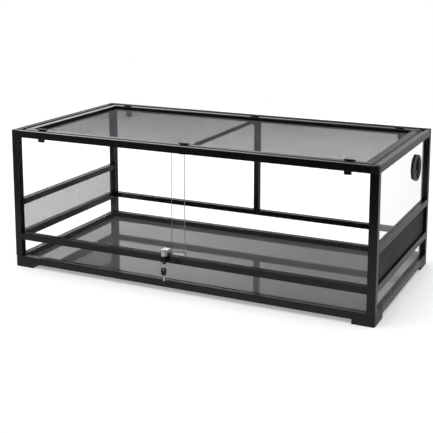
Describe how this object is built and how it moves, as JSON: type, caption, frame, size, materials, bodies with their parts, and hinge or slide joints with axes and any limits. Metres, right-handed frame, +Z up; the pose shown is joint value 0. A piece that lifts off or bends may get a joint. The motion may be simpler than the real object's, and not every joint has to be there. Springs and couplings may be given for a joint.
{
  "type": "reptile terrarium",
  "caption": "Low, wide glass terrarium with sliding front doors and a key lock, mesh side vents, a lift-off mesh lid held by turn clips, and a cable port.",
  "frame": {"origin": "below the middle of the whole part, on the surface that it stands on", "axes": "+X to the right along the front, +Y from the front to the back, +Z up"},
  "size_m": [1.2192, 0.6322, 0.4625],
  "materials": {
    "frame": "satin extruded black plastic",
    "lid": "satin extruded black plastic",
    "clips": "moulded black plastic",
    "port": "moulded black plastic",
    "floor": "smooth dark sheet",
    "glass": "clear float glass, ground edges",
    "mesh": "woven wire, dark coated",
    "chrome": "polished plating",
    "keys": "plated blade with a dark head",
    "screws": "plated countersunk screws"
  },
  "bodies": {
    "tank": {"post_front_left": "frame", "post_front_right": "frame", "post_back_left": "frame", "post_back_right": "frame", "foot_front_left": "frame", "foot_front_right": "frame", "foot_back_left": "frame", "foot_back_right": "frame", "base_rail_front": "frame", "base_rail_back": "frame", "base_rail_left": "frame", "base_rail_right": "frame", "top_rail_front": "frame", "top_rail_back": "frame", "top_rail_left": "frame", "top_rail_right": "frame", "top_corners": "frame", "door_track": "frame", "track_stop": "frame", "back_mid_rail": "frame", "back_centre_post": "frame", "side_lower_rail_left": "frame", "side_lower_rail_right": "frame", "side_upper_rail_left": "frame", "side_upper_rail_right": "frame", "corner_screws": "screws", "floor_panel": "floor", "front_lower_glass": "glass", "back_lower_glass": "glass", "back_glass_left": "glass", "back_glass_right": "glass", "side_lower_glass_left": "glass", "side_lower_glass_right": "glass", "side_glass_left": "glass", "side_glass_right": "glass", "vent_mesh_left": "mesh", "vent_mesh_right": "mesh", "port_flange": "port", "port_nut": "port"},
    "left_door": {"door_glass_left": "glass", "lock_bar": "chrome"},
    "right_door": {"door_glass_right": "glass", "lock_case": "chrome"},
    "lock_key": {"lock_plug": "chrome", "key": "keys"},
    "spare_key_ring": {"key_ring": "chrome", "spare_key": "keys"},
    "lid": {"lid_bar_front": "lid", "lid_bar_back": "lid", "lid_bar_left": "lid", "lid_bar_right": "lid", "lid_brace": "lid", "lid_mesh": "mesh"},
    "cable_cover": {"port_cover": "port"},
    "clip_front_left": {"clip_front_left": "clips"},
    "clip_front_middle": {"clip_front_middle": "clips"},
    "clip_front_right": {"clip_front_right": "clips"},
    "clip_back_left": {"clip_back_left": "clips"},
    "clip_back_middle": {"clip_back_middle": "clips"},
    "clip_back_right": {"clip_back_right": "clips"}
  },
  "joints": [
    {"name": "left_door_slide", "type": "slide", "parent": "tank", "child": "left_door", "axis": [1, 0, 0], "range_m": [0, 0.565]},
    {"name": "right_door_slide", "type": "slide", "parent": "tank", "child": "right_door", "axis": [-1, 0, 0], "range_m": [0, 0.52]},
    {"name": "key_turn", "type": "hinge", "parent": "right_door", "child": "lock_key", "pos_m": [-0.046, -0.30652, 0.12], "axis": [0, 0, 1], "range_deg": [0, 90]},
    {"name": "spare_key_swing", "type": "hinge", "parent": "lock_key", "child": "spare_key_ring", "pos_m": [-0.046, -0.30652, 0.0962], "axis": [0, 1, 0], "range_deg": [0, 25]},
    {"name": "lid_lift", "type": "slide", "parent": "tank", "child": "lid", "axis": [0, 0, 1], "range_m": [0, 0.25]},
    {"name": "cable_cover_turn", "type": "hinge", "parent": "tank", "child": "cable_cover", "pos_m": [0.604, 0.16328, 0.358], "axis": [1, 0, 0], "continuous": true},
    {"name": "clip_front_left_turn", "type": "hinge", "parent": "lid", "child": "clip_front_left", "pos_m": [-0.515, -0.25552, 0.45], "axis": [0, 0, 1], "range_deg": [0, 90]},
    {"name": "clip_front_middle_turn", "type": "hinge", "parent": "lid", "child": "clip_front_middle", "pos_m": [0, -0.25552, 0.45], "axis": [0, 0, 1], "range_deg": [0, 90]},
    {"name": "clip_front_right_turn", "type": "hinge", "parent": "lid", "child": "clip_front_right", "pos_m": [0.515, -0.25552, 0.45], "axis": [0, 0, 1], "range_deg": [0, 90]},
    {"name": "clip_back_left_turn", "type": "hinge", "parent": "lid", "child": "clip_back_left", "pos_m": [-0.515, 0.27808, 0.45], "axis": [0, 0, 1], "range_deg": [0, 90]},
    {"name": "clip_back_middle_turn", "type": "hinge", "parent": "lid", "child": "clip_back_middle", "pos_m": [0, 0.27808, 0.45], "axis": [0, 0, 1], "range_deg": [0, 90]},
    {"name": "clip_back_right_turn", "type": "hinge", "parent": "lid", "child": "clip_back_right", "pos_m": [0.515, 0.27808, 0.45], "axis": [0, 0, 1], "range_deg": [0, 90]}
  ]
}
